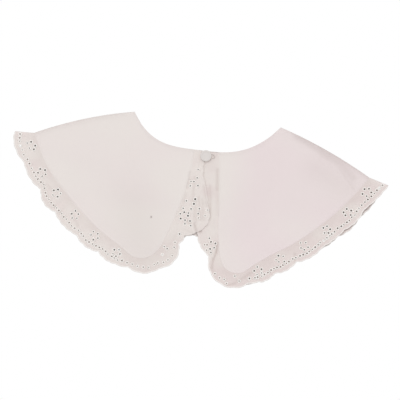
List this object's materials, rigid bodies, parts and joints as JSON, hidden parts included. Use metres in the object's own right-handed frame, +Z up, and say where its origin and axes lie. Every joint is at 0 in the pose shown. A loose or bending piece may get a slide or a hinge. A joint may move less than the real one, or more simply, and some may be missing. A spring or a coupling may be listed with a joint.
{
  "type": "detachable collar",
  "caption": "Wide white cotton collar with two rounded front lobes, scalloped eyelet edging and a button at the throat, folded flat at the shoulders.",
  "frame": {"origin": "under the middle of the collar's outline, on the surface that it lies on", "axes": "+X to the right as the front is seen, along the shoulders; +Y from the lobes towards the neck opening; +Z up, out of the front"},
  "size_m": [0.379, 0.1656, 0.0135],
  "materials": {
    "cotton": "matte plain weave",
    "eyelet_lace": "matte cotton with embroidered eyelets",
    "button": "satin",
    "thread": "matte"
  },
  "bodies": {
    "root": {"left_front_panel": "cotton", "right_front_panel": "cotton", "left_back_panel": "cotton", "right_back_panel": "cotton", "left_front_lace": "eyelet_lace", "right_front_lace": "eyelet_lace", "left_back_lace": "eyelet_lace", "right_back_lace": "eyelet_lace", "button": "button", "button_shank": "thread", "button_loop": "thread"}
  },
  "joints": []
}
